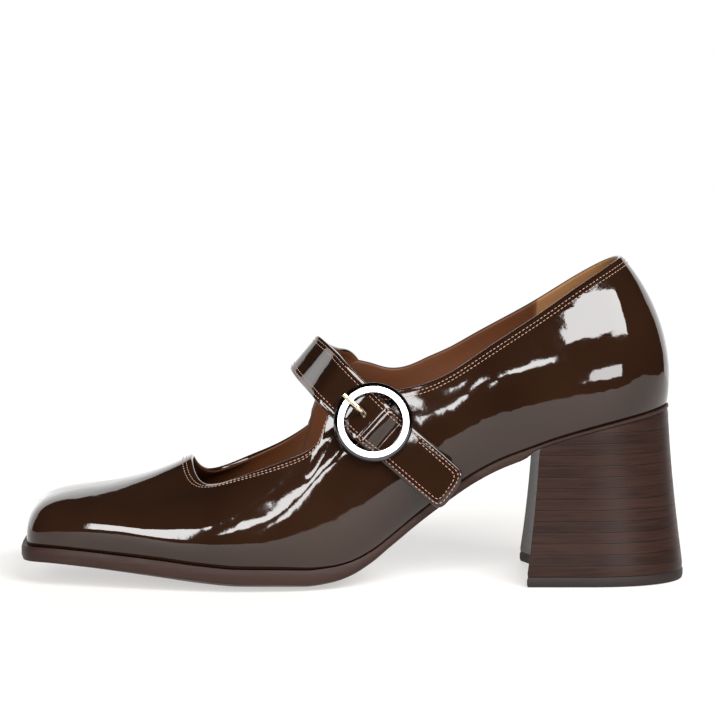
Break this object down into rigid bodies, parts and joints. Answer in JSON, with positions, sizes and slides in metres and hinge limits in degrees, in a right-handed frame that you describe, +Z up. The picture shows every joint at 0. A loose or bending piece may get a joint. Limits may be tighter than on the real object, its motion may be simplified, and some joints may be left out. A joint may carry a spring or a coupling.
{
  "type": "mary jane block heel shoe",
  "caption": "Left mary jane shoe in dark brown patent leather with a square toe, a round-buckle instep strap and a stacked-look block heel.",
  "frame": {"origin": "middle of the box round the shoe, on the floor", "axes": "+X to the toe, +Y to the outer side of the left foot, +Z up"},
  "size_m": [0.2486, 0.083, 0.1202],
  "materials": {
    "patent": "high gloss patent",
    "sole": "satin edge",
    "sock": "matt lining",
    "stack": "stacked look, semi gloss",
    "wear": "matt",
    "silver": "polished",
    "pin": "polished pale gold"
  },
  "bodies": {
    "root": {"upper": "patent", "strap": "patent", "outsole": "sole", "insole": "sock", "heel_block": "stack", "top_piece": "wear", "buckle_ring": "silver", "buckle_prong": "pin"}
  },
  "joints": []
}
